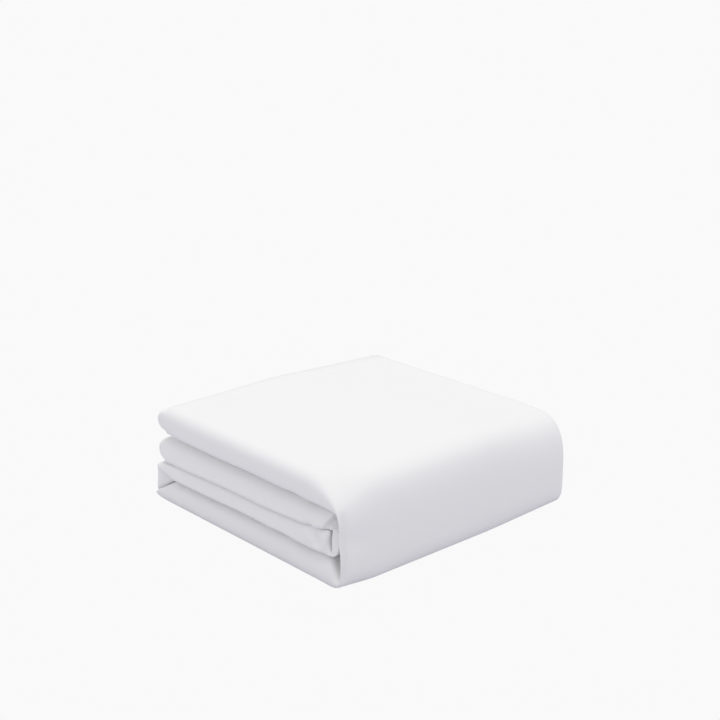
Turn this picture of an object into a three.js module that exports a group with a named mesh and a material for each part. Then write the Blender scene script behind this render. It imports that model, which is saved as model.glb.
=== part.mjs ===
// Folded mattress protector: one white sheet, folded into a strip of seven layers with a round folded
// edge at the front, and that strip folded into four panels. Millimetres, +Z up, X along the front edge.
import * as THREE from "three";

// Driving sizes
const clothThickness = 1.8;
const frontY = -150.5;
const backY = 134;
const layerCount = 7;
const noseDepth = 12;
const rimDepth = 2.2;
const pinchBack = 46;
const pinchShares = { near: 0.3, far: 0.65 };

// Free ends of the strip, at the left of the second and of the top panel. Skew is how much shorter
// the end is at the back than at the front.
const freeEnds = {
  second: { x: -132, round: 10, skew: 5 },
  top: { x: -130, round: 14, skew: 8 },
};

// Panels, in the order in which the strip runs. Heights are given at the left and the right end. Droop
// is what the upper face loses in the last stretch at the left, dip what it loses at the right end of
// the front edge, where a hollow opens before the outer spine. Stops are shares of the panel's length.
const panels = {
  second: { under: [45.2, 48.2], over: [69.0, 70.6], droop: 6.5, dip: 0, stops: [0.25, 0.5, 0.75] },
  third: { under: [26.4, 29.2], over: [43.4, 46.4], droop: 6.5, dip: 0, stops: [0.25, 0.5, 0.75] },
  bottom: { under: [0, 0], over: [24.8, 27.6], droop: 0, dip: 11, stops: [0.3, 0.6, 0.88] },
  top: { under: [71.0, 72.2], over: [100, 100], droop: 1.0, dip: 0, stops: [0.25, 0.5, 0.75] },
};
const droopStart = -100;
const droopEnd = -137;
const dipStart = 98;
const dipEnd = 126;

// Spines, where the strip turns from one panel to the next. Each face of a turn is two quarter
// curves: from fromX out to reachIn at height turnIn, and from reachOut at turnOut back to toX.
// The squares say how full each quarter is, 2 being an ellipse.
const spineColumns = ["fromX", "squareIn", "reachIn", "turnIn", "turnOut", "reachOut", "squareOut", "toX"];
const spineRows = {
  inner: {
    coreOutside: [106, 2.8, 127.4, 51, 47, 127.4, 2.8, 106],
    coreInside: [109.4, 2, 110.4, 47.3, 46.9, 110.4, 2, 109.4],
    frontOutside: [108, 3, 136.6, 51, 45, 136.6, 2.6, 110],
    frontInside: [126, 2, 127.2, 47.7, 47.1, 127.2, 2, 126],
  },
  left: {
    coreOutside: [-110, 4.2, -141, 20, 20, -141, 4.6, -116],
    coreInside: [-114, 2, -115, 25.6, 25.6, -115, 2, -114],
    frontOutside: [-110, 4.4, -141.5, 18, 18, -141.5, 5, -116],
    frontInside: [-112, 2, -113, 25.6, 25.6, -113, 2, -112],
  },
  outer: {
    coreOutside: [112, 4.6, 145, 34, 38, 145, 4.2, 102],
    coreInside: [112, 2.5, 129.6, 40, 44, 129.6, 3.2, 102],
    frontOutside: [124, 2.4, 142.6, 17, 20, 142.6, 5, 102],
    frontInside: [126, 2.6, 138.2, 23, 26, 138.2, 6, 102],
  },
};

// The folded edge at the front of each spine: how far it is drawn back on its way in, at the turn and
// on its way out, and how far its roundness is flattened to a rim
const drawnBack = {
  inner: { into: 3, turn: 5, out: 2, flattened: 0.5, flatFrom: 0.3, flatTo: 0.9 },
  left: { into: 2, turn: 7, out: 1, flattened: 0.5, flatFrom: 0.3, flatTo: 0.9 },
  outer: { into: 1, turn: 0, out: 0, flattened: 1, flatFrom: 0.1, flatTo: 0.8 },
};
const drawnFrom = 0.4;

// The pile is lower and a little narrower at the back, where the open layers lie
const backDrop = 0.09;
const backPullIn = 5;
const backStart = 36;
const pullStartX = 80;
const pullEndX = 140;

// Steps along the strip and across it
const quarterSteps = 4;
const cornerCrowding = 1.4;
const curlSteps = 4;
const noseSteps = 8;
const backFoldSteps = 4;
const frontFoldSteps = 3;
const outerPlaces = ["noseEnd", "nearPinch", "farPinch", "pinchEnd", "middle", "nearBack", "back"];
const innerPlaces = ["insideStart", "middle", "back"];
const innerLayerGap = 3.5;
const innerEndBack = 12;
const innerEndGap = 11;
const foldBulge = 1.8;
const cornerRound = 4;
const openEnd = 14;

// The strip's run, from the free end of the second panel to that of the top one. Face a is the one that
// ends on top of the pile, and b is the other.
const run = [
  { panel: "second", a: "under", b: "over" },
  { spine: "inner", outside: "b", split: true },
  { panel: "third", a: "over", b: "under" },
  { spine: "left", outside: "a" },
  { panel: "bottom", a: "under", b: "over" },
  { spine: "outer", outside: "a", split: true },
  { panel: "top", a: "over", b: "under" },
];

const mix = (from, to, share) => from + (to - from) * share;

function smooth(low, high, value) {
  const share = Math.min(1, Math.max(0, (value - low) / (high - low)));
  return share * share * (3 - 2 * share);
}

// Height of a panel's face at x
function level(panel, face, x, depth) {
  const row = panels[panel];
  const slope = mix(row[face][0], row[face][1], (x - droopEnd) / (-2 * droopEnd));
  if (face === "under") return slope;
  const drooped = Math.max(0, (x - droopStart) / (droopEnd - droopStart));
  const dipped = depth === "front" ? Math.max(0, (x - dipStart) / (dipEnd - dipStart)) : 0;
  return slope - row.droop * drooped * drooped - row.dip * dipped;
}

// The row of a spine that shapes one face of the strip
function spineRow(leg, face, depth) {
  const row = spineRows[leg.spine][depth + (leg.outside === face ? "Outside" : "Inside")];
  return Object.fromEntries(spineColumns.map((name, column) => [name, row[column]]));
}

// Point on one face of a spine: on the way in, turned goes from 0 to 1, and on the way out back to 0
function spinePoint(row, wayIn, turned, baseZ) {
  const fromCorner = 2 * turned - 1;
  const angle = Math.PI / 4 * (1 + Math.sign(fromCorner) * Math.pow(Math.abs(fromCorner), cornerCrowding));
  const square = wayIn ? row.squareIn : row.squareOut;
  const sine = Math.sin(angle);
  const cosine = Math.max(0, Math.cos(angle));
  const stretch = Math.pow(Math.pow(sine, square) + Math.pow(cosine, square), -1 / square);
  const outward = stretch * sine;
  const upright = stretch * cosine;
  const x = mix(wayIn ? row.fromX : row.toX, wayIn ? row.reachIn : row.reachOut, outward);
  const z = mix(wayIn ? row.turnIn : row.turnOut, baseZ, upright);
  return [x, z];
}

function panelStations(index, depth) {
  const leg = run[index];
  const isFirst = index === 0;
  const isLast = index === run.length - 1;
  const free = freeEnds[leg.panel];
  const stops = panels[leg.panel].stops;
  return [...(isFirst ? [0] : []), ...stops, ...(isLast ? [1] : [])].map((share) => {
    const station = { drawn: 0, rim: 0, curl: 0 };
    for (const face of ["a", "b"]) {
      const startX = isFirst ? free.x + free.round : spineRow(run[index - 1], face, depth).toX;
      const endX = isLast ? free.x + free.round : spineRow(run[index + 1], face, depth).fromX;
      const x = mix(startX, endX, share);
      station[face] = [x, level(leg.panel, leg[face], x, depth)];
    }
    return station;
  });
}

function spineStations(index, depth) {
  const leg = run[index];
  const back = drawnBack[leg.spine];
  const stations = [];
  for (const wayIn of [true, false]) {
    const panelLeg = wayIn ? run[index - 1] : run[index + 1];
    for (let step = 0; step <= quarterSteps; step += 1) {
      if (!wayIn && step === 0 && !leg.split) continue;
      const turned = wayIn ? step / quarterSteps : 1 - step / quarterSteps;
      const drawn = mix(wayIn ? back.into : back.out, back.turn, turned) * smooth(0, drawnFrom, turned);
      const rim = back.flattened * smooth(back.flatFrom, back.flatTo, turned);
      const station = { drawn, rim, curl: 0, isSpine: true };
      for (const face of ["a", "b"]) {
        const row = spineRow(leg, face, depth);
        const baseZ = level(panelLeg.panel, panelLeg[face], wayIn ? row.fromX : row.toX, depth);
        station[face] = spinePoint(row, wayIn, turned, baseZ);
      }
      stations.push(station);
    }
  }
  return stations;
}

// All stations of the strip at one depth, with the steps of both free ends
function stripStations(depth) {
  const stations = run.flatMap((leg, index) => {
    return leg.panel ? panelStations(index, depth) : spineStations(index, depth);
  });
  const curls = (station, panel) => {
    const steps = [];
    for (let step = 1; step <= curlSteps; step += 1) {
      steps.push({ ...station, curl: step / curlSteps, free: freeEnds[panel] });
    }
    return steps;
  };
  stations[0].free = freeEnds.second;
  stations[stations.length - 1].free = freeEnds.top;
  return [
    ...curls(stations[0], "second").reverse(),
    ...stations,
    ...curls(stations[stations.length - 1], "top"),
  ];
}

// Points of the strip's section, from the hem at the back round the front edge and inwards. Height runs
// from -1 on face b to 1 on face a. Facing is the cloth's outer side there, as steps in Y and in height,
// and outer says how far a point follows the closed free ends.
function sectionPoints() {
  const points = [];
  for (const place of [...outerPlaces].reverse()) {
    points.push({ place, height: -1, facing: [0, -1], outer: place === "back" ? 0 : 1, endGap: 0 });
  }
  for (let step = 1; step < noseSteps; step += 1) {
    const angle = mix(-Math.PI / 2, Math.PI / 2, step / noseSteps);
    const facing = [-Math.cos(angle), Math.sin(angle)];
    const bulge = Math.cos(angle);
    points.push({ place: "nose", height: Math.sin(angle), facing, bulge, outer: 1, endGap: 0 });
  }
  for (const place of outerPlaces) {
    points.push({ place, height: 1, facing: [0, 1], outer: place === "back" ? 0 : 1, endGap: 0 });
  }
  const pitch = 2 / (layerCount - 1);
  for (let layer = 1; layer < layerCount - 1; layer += 1) {
    const height = 1 - layer * pitch;
    const atBack = layer % 2 === 1;
    const foldSteps = atBack ? backFoldSteps : frontFoldSteps;
    const side = atBack ? 1 : -1;
    for (let step = 1; step < foldSteps; step += 1) {
      const angle = Math.PI * step / foldSteps;
      const foldHeight = height + pitch / 2 + pitch / 2 * Math.cos(angle);
      const facing = [Math.sin(angle), side * Math.cos(angle)];
      const place = atBack ? "back" : "insideStart";
      const endGap = innerEndGap * (layer === 1 ? step / foldSteps : 1);
      points.push({ place, height: foldHeight, facing, bulge: side * Math.sin(angle), outer: 0, endGap });
    }
    const inner = atBack ? [...innerPlaces].reverse() : innerPlaces;
    for (const place of inner) {
      points.push({ place, height, facing: [0, -side], outer: 0, endGap: innerEndGap });
    }
  }
  return points;
}

// Y of a section's point at one station
function sectionY(front, point) {
  const edgeY = frontY + clothThickness / 2 + front.drawn;
  const depth = mix(noseDepth, rimDepth, front.rim);
  const pinchEnd = frontY + pinchBack;
  const insideStart = front.isSpine ? pinchEnd + innerLayerGap : edgeY + noseDepth + innerLayerGap;
  if (point.place === "nose") return edgeY + depth * (1 - point.bulge);
  const bulge = foldBulge * (point.bulge || 0);
  return bulge + {
    noseEnd: edgeY + depth,
    nearPinch: mix(edgeY + depth, pinchEnd, pinchShares.near),
    farPinch: mix(edgeY + depth, pinchEnd, pinchShares.far),
    pinchEnd,
    insideStart,
    middle: backStart,
    nearBack: backY - openEnd,
    back: backY,
  }[point.place];
}

// One skin of the cloth, 1 outside and -1 inside, at one station of the strip and one section point
function skinPoint(core, front, point, skin) {
  const offset = skin * clothThickness / 2;
  const y = sectionY(front, point) + offset * point.facing[0];
  const pinch = 1 - smooth(frontY, frontY + pinchBack, y);
  const a = [0, 1].map((axis) => mix(core.a[axis], front.a[axis], pinch));
  const b = [0, 1].map((axis) => mix(core.b[axis], front.b[axis], pinch));
  const thick = Math.hypot(a[0] - b[0], a[1] - b[1]);
  const lift = point.height * (thick - clothThickness) / 2 + offset * point.facing[1];
  const place = (amount) => [0, 1].map((axis) => {
    return (a[axis] + b[axis]) / 2 + (a[axis] - b[axis]) * amount / thick;
  });
  const inner = place(lift);
  if (!front.free) return new THREE.Vector3(inner[0], y, inner[1]);
  const curlAngle = front.curl * Math.PI / 2;
  const outer = place(lift * Math.cos(curlAngle));
  const corner = point.place === "nose" ? cornerRound * point.bulge : 0;
  outer[0] -= (front.free.round - corner - clothThickness / 2 + offset) * Math.sin(curlAngle);
  inner[0] += point.endGap + innerEndBack * (1 - front.curl);
  const x = mix(inner[0], outer[0], point.outer);
  const z = mix(inner[1], outer[1], point.outer);
  const across = (y - frontY) / (backY - frontY);
  return new THREE.Vector3(x + front.free.skew * across, y, z);
}

// The pile's lower, narrower back
function settle(point) {
  const back = Math.max(0, (point.y - backStart) / (backY - backStart));
  point.z *= 1 - backDrop * back;
  point.x -= backPullIn * back * smooth(pullStartX, pullEndX, point.x);
  return point;
}

// A closed sheet between two grids of skin points. At both ends of the strip the first outerCount
// columns, but for the outermost two, meet in pairs, which closes the free ends.
function closedSheet(skins, outerCount) {
  const rowCount = skins[0].length;
  const columnCount = skins[0][0].length;
  const positions = [];
  const numbers = new Map();
  const isPaired = (column) => column > 0 && column < outerCount - 1;
  const corner = (skin, row, column) => {
    const paired = (row === 0 || row === rowCount - 1) && isPaired(column);
    const shared = paired ? Math.min(column, outerCount - 1 - column) : column;
    const key = skin + ":" + row + ":" + shared;
    if (!numbers.has(key)) {
      const place = skins[skin][row][shared];
      numbers.set(key, positions.length / 3);
      positions.push(place.x, place.y, place.z);
    }
    return numbers.get(key);
  };
  const index = [];
  const quad = ([p, q, r, s], turned) => {
    index.push(...(turned ? [p, q, r, p, r, s] : [p, r, q, p, s, r]));
  };
  for (let row = 0; row < rowCount - 1; row += 1) {
    for (let column = 0; column < columnCount - 1; column += 1) {
      for (const skin of [0, 1]) {
        const square = [[0, 0], [1, 0], [1, 1], [0, 1]];
        quad(square.map(([r, c]) => corner(skin, row + r, column + c)), skin === 1);
      }
    }
    for (const column of [0, columnCount - 1]) {
      const corners = [[0, 0], [1, 0], [1, 1], [0, 1]].map(([skin, r]) => corner(skin, row + r, column));
      quad(corners, column > 0);
    }
  }
  for (const row of [0, rowCount - 1]) {
    for (let column = 0; column < columnCount - 1; column += 1) {
      if (isPaired(column) && isPaired(column + 1)) continue;
      const corners = [[0, 0], [0, 1], [1, 1], [1, 0]].map(([skin, c]) => corner(skin, row, column + c));
      quad(corners, row > 0);
    }
  }
  const geometry = new THREE.BufferGeometry();
  geometry.setAttribute("position", new THREE.Float32BufferAttribute(positions, 3));
  geometry.setIndex(index);
  geometry.userData = { rows: rowCount, columns: columnCount };
  return geometry;
}

function protectorGeometry() {
  const core = stripStations("core");
  const front = stripStations("front");
  const section = sectionPoints();
  const skins = [1, -1].map((skin) => core.map((station, row) => {
    return section.map((point) => settle(skinPoint(station, front[row], point, skin)));
  }));
  const geometry = closedSheet(skins, 2 * outerPlaces.length + noseSteps - 1);
  geometry.computeBoundingBox();
  const { min, max } = geometry.boundingBox;
  geometry.translate(-(min.x + max.x) / 2, -(min.y + max.y) / 2, -min.z);
  geometry.computeVertexNormals();
  return geometry;
}

const whiteCloth = new THREE.MeshStandardMaterial({ color: 0xf1f0f3, roughness: 0.85, metalness: 0 });
const protector = new THREE.Mesh(protectorGeometry(), whiteCloth);
protector.name = "protector";

const group = new THREE.Group();
group.add(protector);
export default group;
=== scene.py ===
# Folded mattress protector: the white cloth, its creases and the studio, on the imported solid
import math

import bpy
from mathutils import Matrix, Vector


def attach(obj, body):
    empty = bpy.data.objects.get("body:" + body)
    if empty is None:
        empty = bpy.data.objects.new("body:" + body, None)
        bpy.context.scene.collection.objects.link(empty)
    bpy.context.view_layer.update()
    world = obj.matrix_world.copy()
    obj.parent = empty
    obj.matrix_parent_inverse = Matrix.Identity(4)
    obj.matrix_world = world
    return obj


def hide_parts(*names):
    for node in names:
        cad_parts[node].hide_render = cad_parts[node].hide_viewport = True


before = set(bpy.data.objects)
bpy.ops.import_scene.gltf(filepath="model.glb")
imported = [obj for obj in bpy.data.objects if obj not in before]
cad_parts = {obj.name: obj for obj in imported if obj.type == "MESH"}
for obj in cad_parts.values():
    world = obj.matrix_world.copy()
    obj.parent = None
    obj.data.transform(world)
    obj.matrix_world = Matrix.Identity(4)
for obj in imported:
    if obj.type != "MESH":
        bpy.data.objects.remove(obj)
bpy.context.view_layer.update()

# Camera, looking at the near corner. Angles in degrees, lengths in metres, lens and sensor in millimetres.
shot = {
    "azimuth": 48.25,
    "pitch": 18.6,
    "distance": 1.479,
    "aimHeight": 0.05,
    "aimAcross": 0.0025,
    "aimUp": 0.0904,
    "lens": 76.6,
    "sensorWidth": 36.0,
    "clipStart": 0.05,
}


def makeCamera():
    turn = math.radians(shot["azimuth"])
    fall = math.radians(shot["pitch"])
    forward = Vector((-math.sin(turn) * math.cos(fall), math.cos(turn) * math.cos(fall), -math.sin(fall)))
    right = Vector((math.cos(turn), math.sin(turn), 0))
    up = right.cross(forward)
    aim = Vector((0, 0, shot["aimHeight"])) + right * shot["aimAcross"] + up * shot["aimUp"]
    bpy.ops.object.camera_add(location=aim - forward * shot["distance"])
    camera = bpy.context.object
    camera.name = "camera"
    camera.rotation_euler = forward.to_track_quat("-Z", "Y").to_euler()
    camera.data.lens = shot["lens"]
    camera.data.sensor_width = shot["sensorWidth"]
    camera.data.clip_start = shot["clipStart"]
    bpy.context.scene.camera = camera


makeCamera()
print("camera placed")

# The cloth. Lengths are in millimetres, Y runs from the folded front edge to the open back.
millimetre = 0.001
cloth = {
    "thickness": 1.5,
    "frontY": -143.6,
    "backY": 140.9,
    "topZ": 100.0,
    "layers": 7,
    "noseDepth": 12.0,  # where the inner layers begin behind the folded edge
    "endSquare": 3.5,  # how full the turn of a free end is
    "pinchBack": 46.0,  # from the folded edge to the even form deep in the pile
    "pinchShares": [0.03, 0.07, 0.11, 0.16, 0.23, 0.32, 0.42, 0.54, 0.68, 0.84],
    "innerLayerGap": 3.5,  # between the outer fold and the inner layers
    "innerEndBack": 12.0,  # the last stretch of the inner layers at a free end
    "innerEndGap": 11.0,  # between a free end's turn and the inner layers
    "innerShares": [0, 0.33, 0.66],
    "foldBulge": 1.8,  # how round an inner fold is
    "cornerRound": 4.0,  # where a free end meets the folded edge
    "openEnd": 6.0,  # the last stretch before the open back
    "backOuterShare": 0.75,  # how far the back hem follows a free end's turn
    "backDrop": 0.098,  # share of the height that is lost at the back
    "backDropTilt": 0.022,  # more of it at the left and less at the right
    "backPullIn": 5.0,  # how far the right side comes in at the back
    "shoulderIn": 3.5,  # and its upper edge besides
    "shoulderDown": 2.5,
    "shoulderZ": 45.0,  # the shoulder begins at this height
    "backStart": (-8.0, 42.0),  # Y where the back begins, at the left and at the right
    "pullStartX": 81.0,
    "pullEndX": 141.0,
    "shiftX": -1.8,  # keeps the cloth inside the solid's box
    "rounderFrom": 0.8,  # share of an end panel past which its edge grows rounder
    "spineBlend": 0.15,  # share of a spine over which its edge takes up the panel's
    "cornerCrowding": 1.4,  # above 1, more rows stand near a spine's corners
    "panelSteps": 46,
    "quarterSteps": 20,
    "curlSteps": 10,
    "noseSteps": 24,
    "sideSteps": 22,
    "backFoldSteps": 4,
    "frontFoldSteps": 3,
}

# Free ends of the strip, at the left: where the end turns furthest out, how long its turn is, and how
# far it shifts along X towards the back
freeEnds = {
    "second": {"x": -133.4, "round": 15, "skew": -6},
    "top": {"x": -128, "round": 15.5, "skew": -13},
}

# Panels in the order in which the strip runs: heights at the left and at the right end, deep in the
# pile and at the folded front edge. Droop is what the upper face loses at the left end, and rise what
# the lower face gains there. SetBack is how far the panel's edge lies behind the foremost one, and
# lean how much farther back its upper side is.
panels = {
    "second": {
        "core": {"under": (45.2, 48.2), "over": (69.8, 71.2)},
        "front": {"under": (42.4, 50.8), "over": (71.4, 72.0)},
        "droop": 12.0, "rise": -2.4, "setBack": 0.8, "lean": 6.0,
    },
    "third": {
        "core": {"under": (26.0, 28.8), "over": (44.6, 47.6)},
        "front": {"under": (28.0, 29.4), "over": (42.3, 50.7)},
        "droop": 7.0, "rise": 0.0, "setBack": 1.0, "lean": 2.4,
    },
    "bottom": {
        "core": {"under": (0, 0), "over": (25.4, 28.2)},
        "front": {"under": (0, 0), "over": (26.0, 27.4)},
        "droop": 0.0, "rise": 0.0, "setBack": 0.6, "lean": 4.5,
    },
    "top": {
        "core": {"under": (70.6, 72.0), "over": (100, 100)},
        "front": {"under": (73.6, 74.1), "over": (100, 100)},
        "droop": 0.5, "rise": 0.2, "setBack": 0.0, "lean": 0.0,
    },
}
droopStart, droopEnd = -94, -137

# Bumps in the lips of the front edge, where two faces lie against each other
ripples = [
    {"faces": (("top", "under"), ("second", "over")), "x": 78, "width": 12, "height": 1.3},
    {"faces": (("top", "under"), ("second", "over")), "x": 20, "width": 32, "height": 0.9},
    {"faces": (("third", "under"), ("bottom", "over")), "x": 6, "width": 42, "height": 1.4},
    {"faces": (("third", "under"), ("bottom", "over")), "x": 62, "width": 12, "height": 1.2},
    {"faces": (("second", "under"), ("third", "over")), "x": -40, "width": 30, "height": 0.5},
    {"faces": (("second", "under"), ("third", "over")), "x": 108, "width": 22, "height": 1.0},
    {"faces": (("second", "under"), ("third", "over")), "x": 40, "width": 30, "height": -0.9},
]

# Spines, where the strip turns, deep in the pile. Each face of a turn is two quarter curves: from
# fromX out to reachIn at height turnIn, and from reachOut at turnOut back to toX. The squares say how
# full a quarter is.
spineColumns = ("fromX", "squareIn", "reachIn", "turnIn", "turnOut", "reachOut", "squareOut", "toX")
spineRows = {
    "inner": {
        "outside": (106, 2.8, 127.4, 51, 47, 127.4, 2.8, 106),
        "inside": (109.4, 2, 110.4, 47.3, 46.9, 110.4, 2, 109.4),
    },
    "left": {
        "outside": (-110, 4.2, -141, 20, 20, -141, 4.6, -116),
        "inside": (-114, 2, -115, 25.6, 25.6, -115, 2, -114),
    },
    "outer": {
        "outside": (112, 4.6, 145, 34, 38, 145, 3.7, 102),
        "inside": (112, 2.5, 129.6, 40, 44, 129.6, 3.2, 102),
    },
}

# The same turns at the folded front edge, as rows along the strip: the outside and the inside face of
# the strip, how far the edge is drawn back towards each of them, and how deep it is rounded. The first
# and the last row give X alone, and their heights are the panels'.
turnColumns = ("outsideX", "outsideZ", "insideX", "insideZ", "drawnOut", "drawnIn", "depth")
turnRows = {
    "inner": [
        (100, None, 98, None, 0, 0, 6),
        (108, 73.6, 104, 50.6, 0, 0, 6),
        (117, 73.6, 108.5, 51.4, 0.1, 0.1, 6),
        (124, 73.5, 111.6, 52.0, 0.5, 0.4, 6),
        (128.4, 73.4, 113.6, 52.4, 1.6, 0.5, 4),
        (130.8, 73.3, 115.0, 52.6, 8.0, 1.6, 3),
        (132.2, 72.4, 117.6, 52.7, 13, 3.4, 3),
        (134.0, 69.5, 120.6, 52.9, 15, 4.0, 3),
        (135.4, 64, 123.8, 53.8, 12, 3.0, 3),
        (135.6, 58, 126.4, 55.2, 7.0, 1.8, 3),
        (134.8, 51, 127.2, 52.4, 2.2, 1.0, 3),
        (134.4, 46, 125.9, 47.8, 2.0, 1.0, 3),
        (134.4, 41, 125.6, 41.5, 2.0, 1.2, 3),
        (133.4, 36.4, 125.6, 35.6, 1.8, 1.2, 3),
        (129.5, 31.2, 124.6, 32.4, 1.6, 1.6, 3),
        (124.5, 29.5, 123.0, 33.2, 1.6, 2.4, 4),
        (120, 29.3, 121.8, 37.6, 1.0, 3.0, 4),
        (116, 29.2, 121.8, 44, 0.6, 2.4, 4),
        (112.5, 29.2, 122.4, 49.8, 0.2, 1.2, 4),
        (109.5, 29.2, 120.4, 52.2, 0, 0.4, 4),
        (106.5, 29.3, 113, 51.8, 0, 0, 4.5),
        (100, None, 103, None, 0, 0, 5),
    ],
    "left": [
        (-100, None, -99, None, 0, 0, 5),
        (-114, 41.6, -102.6, 28.0, 0, 0, 5),
        (-124, 39.6, -103.4, 27.9, 0, 0, 5),
        (-132, 37.2, -104.0, 27.8, 0, 0.2, 5),
        (-135.8, 34.8, -104.2, 27.8, 0, 0.8, 4),
        (-136.4, 31.0, -104.4, 27.7, 0.8, 5.0, 4),
        (-136.8, 20, -104.6, 27.5, 0.8, 7.5, 4),
        (-137.6, 9.6, -104.6, 27.3, 0.6, 9, 4),
        (-138.2, 7.2, -104.6, 26.8, 2.6, 15, 3),
        (-138.8, 5.2, -104.4, 25.9, 0, 2.6, 4),
        (-137.4, 2.2, -104.2, 26.2, 0, 0.4, 6),
        (-130, 0.3, -103.8, 26.4, 0, 0, 8),
        (-116, 0, -103, 26.7, 0, 0, 8),
        (-104, None, -99, None, 0, 0, 8),
    ],
    "outer": [
        (92, None, 94, None, 0, 0, 8),
        (106, 0, 107, 28.4, 0, 0, 8),
        (118, 0, 116.5, 27.6, 0, 0, 7),
        (127, 0.8, 122.5, 25, 0, 0.2, 6),
        (133.5, 3.4, 128, 18, 0, 0.4, 5),
        (138, 7.6, 133.6, 11.2, 0, 0.4, 3.5),
        (140.6, 13, 136.6, 12.0, 0, 0.2, 2.2),
        (141.6, 20, 137.6, 19, 0, 0, 1.8),
        (141.8, 31, 138.2, 30, 0, 0, 1.8),
        (141.2, 40, 137.6, 39, 0, 0, 1.8),
        (139.8, 49, 136.0, 49, 0, 0, 1.8),
        (140.8, 58, 137.4, 58, 0, 0, 1.8),
        (140.2, 65, 136.6, 65, 0, 0, 1.8),
        (138.8, 71, 135.4, 70.4, 0, 0, 2.0),
        (136.8, 76, 134.0, 73.2, 0, 0, 2.4),
        (133.4, 80.6, 130.8, 74.2, 0, 0, 3),
        (127.4, 86, 124, 74.3, 0, 0, 4),
        (118.6, 92, 114, 74.2, 0, 0, 6),
        (109, 97, 105, 74.1, 0, 0, 8.5),
        (98, None, 96, None, 0, 0, 11),
    ],
}

# The folded edge towards face a and towards face b of each panel: how square it is, 2 being round, and
# how deep. The free ends are rounder.
edgeSquares = {"second": (9, 2.3), "third": (4.5, 9), "bottom": (2.6, 2.4), "top": (2.4, 9)}
edgeDepths = {"second": (3, 10), "third": (4, 3), "bottom": (8, 8), "top": (12, 3)}
endSquares = (2.6, 2.6)

# Soft troughs and ridges in the cloth: where each begins and ends, how wide it is and how far it
# moves the cloth. Past creaseReach times its width a crease is too weak to count.
creaseReach = 3
creases = {
    "ridgeOnRim": ((142.5, -142.6, 12), (141.5, -142.6, 76), 1.5, (0.9, 0, 0)),
    "troughByRim": ((143, -138.6, 14), (142, -138.6, 74), 3.0, (-3.2, 0, 0)),
    "topLeftLong": ((-92, -134, 100), (-80, -60, 100), 5, (0, 0, -0.8)),
    "topLeftShort": ((-112, -121, 100), (-88, -78, 100), 5, (0, 0, -0.5)),
    "topRight": ((84, 98, 100), (140, 106, 100), 26, (0, 0, -1.2)),
    "thirdRidge": ((89, -143, 46), (99, -143, 38), 3.2, (0, -1.6, 0)),
    "thirdTrough": ((98, -143, 49), (108, -143, 38), 4.5, (0, 2.6, 0)),
    "secondRidge": ((120, -143, 69), (110, -143, 56), 2.6, (0, -1.1, 0)),
    "bottomRidge": ((119, -143, 25), (131, -143, 6), 3, (0, -1.2, 0)),
    "bottomTrough": ((115, -143, 27), (106, -143, 20), 4.5, (0, 2.0, 0)),
    "rightFace": ((142, -88, 60), (142, -82, 24), 15, (-0.7, 0, 0)),
}

# The strip's run, from the free end of the second panel to that of the top one. Face a is the one
# that ends on top of the pile.
run = [
    {"panel": "second", "a": "under", "b": "over"},
    {"spine": "inner", "outside": "b"},
    {"panel": "third", "a": "over", "b": "under"},
    {"spine": "left", "outside": "a"},
    {"panel": "bottom", "a": "under", "b": "over"},
    {"spine": "outer", "outside": "a"},
    {"panel": "top", "a": "over", "b": "under"},
]


def mix(start, end, share):
    return start + (end - start) * share


def smooth(low, high, value):
    share = min(1, max(0, (value - low) / (high - low)))
    return share * share * (3 - 2 * share)


def level(panel, face, x, depth):
    row = panels[panel]
    left, right = row[depth][face]
    height = mix(left, right, (x - droopEnd) / (-2 * droopEnd))
    leftward = max(0, (x - droopStart) / (droopEnd - droopStart)) ** 2
    height += leftward * (row["rise"] if face == "under" else -row["droop"])
    if depth == "front":
        for ripple in ripples:
            if (panel, face) in ripple["faces"]:
                height += ripple["height"] * math.exp(-(((x - ripple["x"]) / ripple["width"]) ** 2))
    return height


def coreRow(leg, face):
    side = "outside" if leg["outside"] == face else "inside"
    return dict(zip(spineColumns, spineRows[leg["spine"]][side]))


def edgeRow(leg, row):
    return dict(zip(turnColumns, turnRows[leg["spine"]][row]))


# How far the folded edge of a panel leans back towards face a and towards face b
def leaning(leg):
    return [panels[leg["panel"]]["lean"] if leg[face] == "over" else 0 for face in "ab"]


# Where a panel's face begins or ends at a spine
def turnX(leg, face, end, depth):
    if depth == "core":
        return coreRow(leg, face)["fromX" if end == 0 else "toX"]
    return edgeRow(leg, end)["outsideX" if leg["outside"] == face else "insideX"]


# Deep in the pile: on the way in, turned goes from 0 to 1, and on the way out back to 0
def spinePoint(row, wayIn, turned, baseZ):
    fromCorner = 2 * turned - 1
    angle = math.pi / 4 * (1 + math.copysign(abs(fromCorner) ** cloth["cornerCrowding"], fromCorner))
    square = row["squareIn"] if wayIn else row["squareOut"]
    sine = math.sin(angle)
    cosine = max(0, math.cos(angle))
    stretch = (sine**square + cosine**square) ** (-1 / square)
    x = mix(row["fromX" if wayIn else "toX"], row["reachIn" if wayIn else "reachOut"], stretch * sine)
    z = mix(row["turnIn" if wayIn else "turnOut"], baseZ, stretch * cosine)
    return (x, z)


# A smooth curve through the values of a list, place running from 0 to the last row's number
def through(values, place):
    row = min(int(place), len(values) - 2)
    share = place - row
    before = values[max(0, row - 1)]
    start, end = values[row], values[row + 1]
    after = values[min(len(values) - 1, row + 2)]
    bend = 2 * before - 5 * start + 4 * end - after
    twist = 3 * (start - end) + after - before
    return start + 0.5 * share * (end - before + share * (bend + share * twist))


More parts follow.
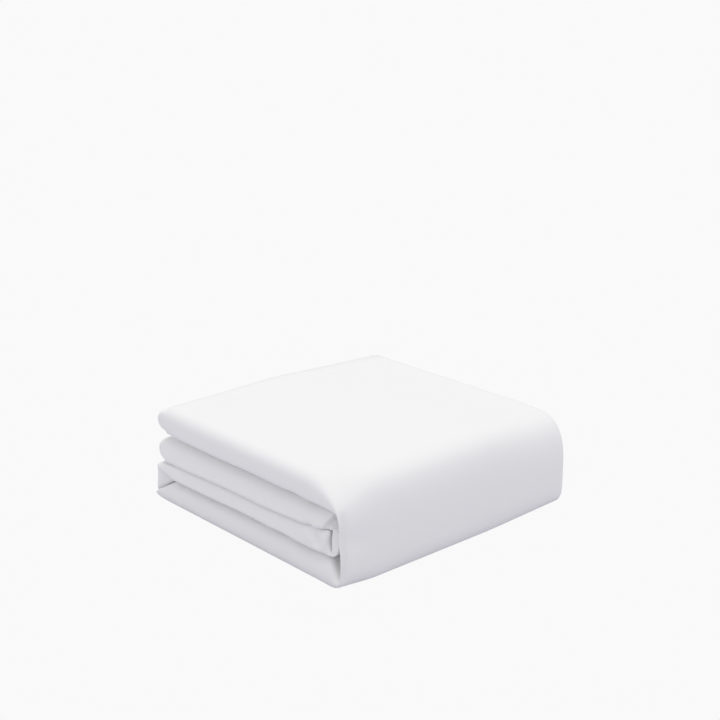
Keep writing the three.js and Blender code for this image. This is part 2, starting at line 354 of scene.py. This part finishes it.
def panelStations(index, depth):
    leg = run[index]
    panel = leg["panel"]
    isFirst = index == 0
    isLast = index == len(run) - 1
    free = freeEnds.get(panel)
    steps = cloth["panelSteps"]
    stations = []
    for step in range(0 if isFirst else 1, steps + 1 if isLast else steps):
        station = {"setBack": panels[panel]["setBack"], "drawn": leaning(leg), "curl": 0}
        station["depths"] = edgeDepths[panel]
        freeShare = 1 - step / steps if isFirst else step / steps if isLast else 0
        rounder = smooth(cloth["rounderFrom"], 1, freeShare)
        station["squares"] = [mix(edgeSquares[panel][n], endSquares[n], rounder) for n in (0, 1)]
        for face in "ab":
            startX = free["x"] + free["round"] if isFirst else turnX(run[index - 1], face, -1, depth)
            endX = free["x"] + free["round"] if isLast else turnX(run[index + 1], face, 0, depth)
            x = mix(startX, endX, step / steps)
            station[face] = (x, level(panel, leg[face], x, depth))
        stations.append(station)
    return stations


def spineStations(index, depth):
    leg = run[index]
    before, after = run[index - 1], run[index + 1]
    rows = [edgeRow(leg, row) for row in range(len(turnRows[leg["spine"]]))]
    steps = 2 * cloth["quarterSteps"]
    blend = cloth["spineBlend"]
    stations = []
    for step in range(steps + 1):
        share = step / steps
        place = share * (len(rows) - 1)
        turned = smooth(0, 1, share)
        fromPanel = smooth(0, blend, share) * (1 - smooth(1 - blend, 1, share))
        rowDepth = through([row["depth"] for row in rows], place)
        drawn = [through([row[name] for row in rows], place) for name in ("drawnOut", "drawnIn")]
        setBacks = [panels[side["panel"]]["setBack"] for side in (before, after)]
        station = {"setBack": mix(*setBacks, turned), "curl": 0, "spine": True}
        drawn = drawn if leg["outside"] == "a" else drawn[::-1]
        station["drawn"] = [drawn[n] + mix(leaning(before)[n], leaning(after)[n], turned) for n in (0, 1)]
        station["squares"], station["depths"] = [
            [mix(table[before["panel"]][n], table[after["panel"]][n], turned) for n in (0, 1)]
            for table in (edgeSquares, edgeDepths)
        ]
        station["depths"] = [mix(own, rowDepth, fromPanel) for own in station["depths"]]
        wayIn = share <= 0.5
        panelLeg = before if wayIn else after
        for face in "ab":
            side = "outside" if leg["outside"] == face else "inside"
            if depth == "core":
                row = coreRow(leg, face)
                baseZ = level(panelLeg["panel"], panelLeg[face], row["fromX" if wayIn else "toX"], depth)
                station[face] = spinePoint(row, wayIn, 2 * share if wayIn else 2 - 2 * share, baseZ)
            else:
                xs = [row[side + "X"] for row in rows]
                zs = [row[side + "Z"] for row in rows]
                zs[0] = level(before["panel"], before[face], xs[0], depth)
                zs[-1] = level(after["panel"], after[face], xs[-1], depth)
                station[face] = (through(xs, place), through(zs, place))
        stations.append(station)
    return stations


def curledEnd(station, panel):
    steps = cloth["curlSteps"]
    return [{**station, "curl": step / steps, "free": freeEnds[panel]} for step in range(1, steps + 1)]


def stripStations(depth):
    stations = []
    for index, leg in enumerate(run):
        stations += panelStations(index, depth) if "panel" in leg else spineStations(index, depth)
    stations[0]["free"] = freeEnds["second"]
    stations[-1]["free"] = freeEnds["top"]
    return curledEnd(stations[0], "second")[::-1] + stations + curledEnd(stations[-1], "top")


# Points of the strip's section, from the hem at the back round the front edge and inwards. Height runs
# from -1 on face b to 1 on face a, and facing is the cloth's outer side there, along Y and height.
def sectionPoints():
    pinches = [{"place": "pinch", "share": share} for share in [0] + cloth["pinchShares"] + [1]]
    sideSteps = cloth["sideSteps"]
    sides = [{"place": "side", "share": step / sideSteps} for step in range(1, sideSteps + 1)]
    outerPlaces = pinches + sides + [{"place": "back", "share": 1}]
    points = []
    for place in outerPlaces[::-1]:
        points.append({**place, "height": -1, "facing": (0, -1), "bulge": 0, "endGap": 0})
    for step in range(1, cloth["noseSteps"]):
        angle = mix(-math.pi / 2, math.pi / 2, step / cloth["noseSteps"])
        points.append({"place": "nose", "angle": angle, "endGap": 0})
    for place in outerPlaces:
        points.append({**place, "height": 1, "facing": (0, 1), "bulge": 0, "endGap": 0})
    for point in points:
        point["outer"] = cloth["backOuterShare"] if point["place"] == "back" else 1
    outerCount = len(points)
    pitch = 2 / (cloth["layers"] - 1)
    for layer in range(1, cloth["layers"] - 1):
        height = 1 - layer * pitch
        atBack = layer % 2 == 1
        side = 1 if atBack else -1
        foldSteps = cloth["backFoldSteps"] if atBack else cloth["frontFoldSteps"]
        for step in range(1, foldSteps):
            angle = math.pi * step / foldSteps
            points.append({
                "place": "back" if atBack else "inside",
                "share": 1 if atBack else 0,
                "height": height + pitch / 2 + pitch / 2 * math.cos(angle),
                "facing": (math.sin(angle), side * math.cos(angle)),
                "bulge": side * math.sin(angle),
                "endGap": cloth["innerEndGap"] * (step / foldSteps if layer == 1 else 1),
                "outer": 0,
            })
        inner = [{"place": "inside", "share": share} for share in cloth["innerShares"]]
        inner.append({"place": "back", "share": 1})
        flat = {"height": height, "facing": (0, -side), "bulge": 0, "outer": 0}
        for place in inner[::-1] if atBack else inner:
            points.append({**place, **flat, "endGap": cloth["innerEndGap"]})
    return points, outerCount


# The rounded front edge at one station, more or less square towards each face
def shaped(front, point):
    if point["place"] != "nose":
        return point
    angle = point["angle"]
    square = front["squares"][0 if angle > 0 else 1]
    sine, cosine = math.sin(angle), math.cos(angle)
    stretch = (abs(sine) ** square + cosine**square) ** (-1 / square)
    up = math.copysign(abs(sine * stretch) ** (square - 1), sine)
    out = (cosine * stretch) ** (square - 1)
    size = math.hypot(up, out)
    return {**point, "height": sine * stretch, "bulge": cosine * stretch, "facing": (-out / size, up / size)}


def sectionY(front, point):
    towardsA = mix((point["height"] + 1) / 2, 0.5, front["curl"])
    edgeY = cloth["frontY"] + cloth["thickness"] / 2 + front["setBack"]
    edgeY += mix(front["drawn"][1], front["drawn"][0], towardsA)
    depth = mix(front["depths"][0 if point["height"] > 0 else 1], sum(front["depths"]) / 2, front["curl"])
    pinchEnd = cloth["frontY"] + cloth["pinchBack"]
    if point["place"] == "nose":
        return edgeY + depth * (1 - point["bulge"])
    if point["place"] == "pinch":
        return mix(edgeY + depth, pinchEnd, point["share"])
    if point["place"] == "side":
        return mix(pinchEnd, cloth["backY"] - cloth["openEnd"], point["share"])
    bulge = cloth["foldBulge"] * point["bulge"]
    if point["place"] == "back":
        return cloth["backY"] + bulge
    start = (pinchEnd if "spine" in front else edgeY + cloth["noseDepth"]) + cloth["innerLayerGap"]
    return mix(start, cloth["backY"], point["share"]) + bulge


# The lesser of two sizes, with the change from one to the other rounded off, and 0 if one is tiny
def softLeast(one, other):
    tiny = 0.001
    if min(one, other) < tiny:
        return 0
    return (one**-cloth["endSquare"] + other**-cloth["endSquare"]) ** (-1 / cloth["endSquare"])


# One skin of the cloth, 1 outside and -1 inside
def skinPoint(core, front, point, skin):
    point = shaped(front, point)
    offset = skin * cloth["thickness"] / 2
    y = sectionY(front, point) + offset * point["facing"][0]
    pinch = 1 - smooth(cloth["frontY"], cloth["frontY"] + cloth["pinchBack"], y)
    a = [mix(core["a"][axis], front["a"][axis], pinch) for axis in (0, 1)]
    b = [mix(core["b"][axis], front["b"][axis], pinch) for axis in (0, 1)]
    thick = math.hypot(a[0] - b[0], a[1] - b[1])
    lift = point["height"] * (thick - cloth["thickness"]) / 2 + offset * point["facing"][1]
    inner = [(a[axis] + b[axis]) / 2 + (a[axis] - b[axis]) * lift / thick for axis in (0, 1)]
    if "free" not in front:
        return Vector((inner[0], y, inner[1]))
    curlAngle = front["curl"] * math.pi / 2
    lifted = lift
    if front["curl"] > 0:
        roundLimit = max(0, math.cos(curlAngle)) * (thick / 2 + offset - cloth["thickness"] / 2)
        lifted = math.copysign(softLeast(abs(lift), roundLimit), lift)
    outer = [(a[axis] + b[axis]) / 2 + (a[axis] - b[axis]) * lifted / thick for axis in (0, 1)]
    corner = cloth["cornerRound"] * point["bulge"] if point["place"] == "nose" else 0
    outer[0] -= (front["free"]["round"] - corner - cloth["thickness"] / 2 + offset) * math.sin(curlAngle)
    inner[0] += point["endGap"] + cloth["innerEndBack"] * (1 - front["curl"])
    x = mix(inner[0], outer[0], point["outer"])
    z = mix(inner[1], outer[1], point["outer"])
    across = (y - cloth["frontY"]) / (cloth["backY"] - cloth["frontY"])
    return Vector((x + front["free"]["skew"] * across**2, y, z))


def creased(point):
    moved = point.copy()
    for begins, ends, width, push in creases.values():
        start = Vector(begins)
        line = Vector(ends) - start
        share = min(1, max(0, (point - start).dot(line) / line.length_squared))
        away = (point - start - line * share).length / width
        if away < creaseReach:
            moved += Vector(push) * math.exp(-(away**2))
    return moved


# The pile is lower and a little narrower at the back, where the open layers lie
def settle(point):
    rightShare = smooth(-cloth["pullEndX"], cloth["pullEndX"], point.x)
    start = mix(*cloth["backStart"], rightShare)
    back = max(0, (point.y - start) / (cloth["backY"] - start))
    point.z *= 1 - (cloth["backDrop"] - cloth["backDropTilt"] * point.x / cloth["pullEndX"]) * back
    rightward = back * smooth(cloth["pullStartX"], cloth["pullEndX"], point.x)
    shoulder = rightward * smooth(cloth["shoulderZ"], cloth["topZ"], point.z)
    point.x -= cloth["backPullIn"] * rightward + cloth["shoulderIn"] * shoulder
    point.z -= cloth["shoulderDown"] * shoulder
    point.x += cloth["shiftX"]
    return point


# Both skins as grids of points, the outer one first: rows along the strip, columns round its section
def clothSkins(section):
    stations = list(zip(stripStations("core"), stripStations("front")))
    skins = []
    for skin in (1, -1):
        rows = [[skinPoint(core, front, point, skin) for point in section] for core, front in stations]
        skins.append([[settle(creased(point)) for point in row] for row in rows])
    return skins


def runningLengths(points):
    lengths = [0]
    for before, after in zip(points, points[1:]):
        lengths.append(lengths[-1] + (after - before).length)
    return lengths


# Points, faces and places on the flat cloth, all in metres
def clothFaces():
    section, outerCount = sectionPoints()
    skins = clothSkins(section)
    lastRow = len(skins[0]) - 1
    lastColumn = len(section) - 1
    lengthColumn = outerCount // 2 + cloth["noseSteps"] // 2 + 2
    along = runningLengths([row[lengthColumn] for row in skins[0]])
    across = runningLengths(skins[0][(lastRow + 1) // 2])
    positions = []
    numbers = {}

    # At both free ends the outer layers meet in pairs, which closes the ends
    def corner(skin, row, column):
        paired = row in (0, lastRow) and 0 < column < outerCount - 1
        shared = min(column, outerCount - 1 - column) if paired else column
        key = (skin, row, shared)
        if key not in numbers:
            numbers[key] = len(positions)
            positions.append(skins[skin][row][shared] * millimetre)
        return numbers[key]

    faces = []
    places = []

    def quad(cells, flip):
        cells = cells[::-1] if flip else cells
        corners = [corner(*cell) for cell in cells]
        kept = [n for n, number in enumerate(corners) if number not in corners[:n]]
        if len(kept) < 3:
            return
        faces.append([corners[n] for n in kept])
        places.append([(along[cells[n][1]] * millimetre, across[cells[n][2]] * millimetre) for n in kept])

    for row in range(lastRow):
        for column in range(lastColumn):
            around = ((row, column), (row, column + 1), (row + 1, column + 1), (row + 1, column))
            for skin in (0, 1):
                quad([(skin, *cell) for cell in around], skin == 1)
        for column in (0, lastColumn):
            quad([(0, row, column), (0, row + 1, column), (1, row + 1, column), (1, row, column)], column > 0)
    for row in (0, lastRow):
        for column in range(lastColumn):
            if 0 < column < outerCount - 2:
                continue
            quad([(0, row, column), (1, row, column), (1, row, column + 1), (0, row, column + 1)], row > 0)
    return positions, faces, places


def makeProtector():
    positions, faces, places = clothFaces()
    mesh = bpy.data.meshes.new("protectorCloth")
    mesh.from_pydata(positions, [], faces)
    layer = mesh.uv_layers.new(name="flatCloth")
    for polygon, corners in zip(mesh.polygons, places):
        for loop, place in zip(polygon.loop_indices, corners):
            layer.data[loop].uv = place
    mesh.validate()
    piece = bpy.data.objects.new("protectorCloth", mesh)
    bpy.context.scene.collection.objects.link(piece)
    bpy.ops.object.select_all(action="DESELECT")
    piece.select_set(True)
    bpy.context.view_layer.objects.active = piece
    bpy.ops.object.shade_smooth()
    print("cloth faces", len(mesh.polygons))
    return piece


# White cloth: threads across and along the sheet, and a soft unevenness. Heights in metres.
whiteCloth = {
    "colour": (0.78, 0.78, 0.78, 1),
    "roughness": 0.85,
    "sheen": 0.15,
    "threads": 390.0,
    "threadHeight": 0.00005,
    "threadStrength": 0.25,
    "unevenness": 16.0,
    "unevenDetail": 2.0,
    "unevenHeight": 0.0012,
    "unevenStrength": 0.3,
}


def makeClothMaterial():
    material = bpy.data.materials.new("whiteCloth")
    material.use_nodes = True
    nodes = material.node_tree.nodes
    links = material.node_tree.links
    shader = nodes["Principled BSDF"]
    shader.inputs["Base Color"].default_value = whiteCloth["colour"]
    shader.inputs["Roughness"].default_value = whiteCloth["roughness"]
    shader.inputs["Sheen Weight"].default_value = whiteCloth["sheen"]
    flat = nodes.new("ShaderNodeUVMap")
    flat.uv_map = "flatCloth"
    threads = nodes.new("ShaderNodeMath")
    threads.operation = "ADD"
    for number, direction in enumerate("XY"):
        wave = nodes.new("ShaderNodeTexWave")
        wave.bands_direction = direction
        wave.inputs["Scale"].default_value = whiteCloth["threads"]
        links.new(flat.outputs["UV"], wave.inputs["Vector"])
        links.new(wave.outputs["Fac"], threads.inputs[number])
    place = nodes.new("ShaderNodeTexCoord")
    uneven = nodes.new("ShaderNodeTexNoise")
    uneven.inputs["Scale"].default_value = whiteCloth["unevenness"]
    uneven.inputs["Detail"].default_value = whiteCloth["unevenDetail"]
    links.new(place.outputs["Object"], uneven.inputs["Vector"])
    softBump = nodes.new("ShaderNodeBump")
    softBump.inputs["Strength"].default_value = whiteCloth["unevenStrength"]
    softBump.inputs["Distance"].default_value = whiteCloth["unevenHeight"]
    links.new(uneven.outputs["Fac"], softBump.inputs["Height"])
    threadBump = nodes.new("ShaderNodeBump")
    threadBump.inputs["Strength"].default_value = whiteCloth["threadStrength"]
    threadBump.inputs["Distance"].default_value = whiteCloth["threadHeight"]
    links.new(threads.outputs["Value"], threadBump.inputs["Height"])
    links.new(softBump.outputs["Normal"], threadBump.inputs["Normal"])
    links.new(threadBump.outputs["Normal"], shader.inputs["Normal"])
    return material


protector = makeProtector()
protector.data.materials.append(makeClothMaterial())
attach(protector, "root")
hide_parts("protector")
print("protector made")

# Plain pale floor and soft studio light. The floor is matt, but the camera sees it evenly white.
studio = {
    "floorSize": 60.0,
    "floorColour": (0.675, 0.662, 0.735, 1),
    "floorSeen": 0.948,
    "skyColour": (1.0, 0.995, 1.005, 1),
    "skyStrength": 0.85,
    "topHeight": 2.0,
    "topStrength": 1.0,
    "topSpread": 50.0,
}


def makeStudio():
    bpy.ops.object.select_all(action="DESELECT")
    bpy.ops.mesh.primitive_plane_add(size=studio["floorSize"], location=(0, 0, 0))
    floor = bpy.context.object
    floor.name = "floor"
    material = bpy.data.materials.new("paleFloor")
    material.use_nodes = True
    nodes = material.node_tree.nodes
    links = material.node_tree.links
    matt = nodes["Principled BSDF"]
    matt.inputs["Base Color"].default_value = studio["floorColour"]
    matt.inputs["Roughness"].default_value = 1.0
    matt.inputs["Specular IOR Level"].default_value = 0.0
    even = nodes.new("ShaderNodeEmission")
    even.inputs["Strength"].default_value = studio["floorSeen"]
    rays = nodes.new("ShaderNodeLightPath")
    choice = nodes.new("ShaderNodeMixShader")
    links.new(rays.outputs["Is Camera Ray"], choice.inputs["Fac"])
    links.new(matt.outputs["BSDF"], choice.inputs[1])
    links.new(even.outputs["Emission"], choice.inputs[2])
    links.new(choice.outputs["Shader"], nodes["Material Output"].inputs["Surface"])
    floor.data.materials.append(material)
    world = bpy.data.worlds.new("studio")
    bpy.context.scene.world = world
    world.use_nodes = True
    sky = world.node_tree.nodes["Background"]
    sky.inputs["Color"].default_value = studio["skyColour"]
    sky.inputs["Strength"].default_value = studio["skyStrength"]
    bpy.ops.object.light_add(type="SUN", location=(0, 0, studio["topHeight"]))
    light = bpy.context.object
    light.name = "topLight"
    light.data.angle = math.radians(studio["topSpread"])
    light.data.energy = studio["topStrength"]


makeStudio()
bpy.context.scene.view_settings.view_transform = "Standard"
print("studio made")
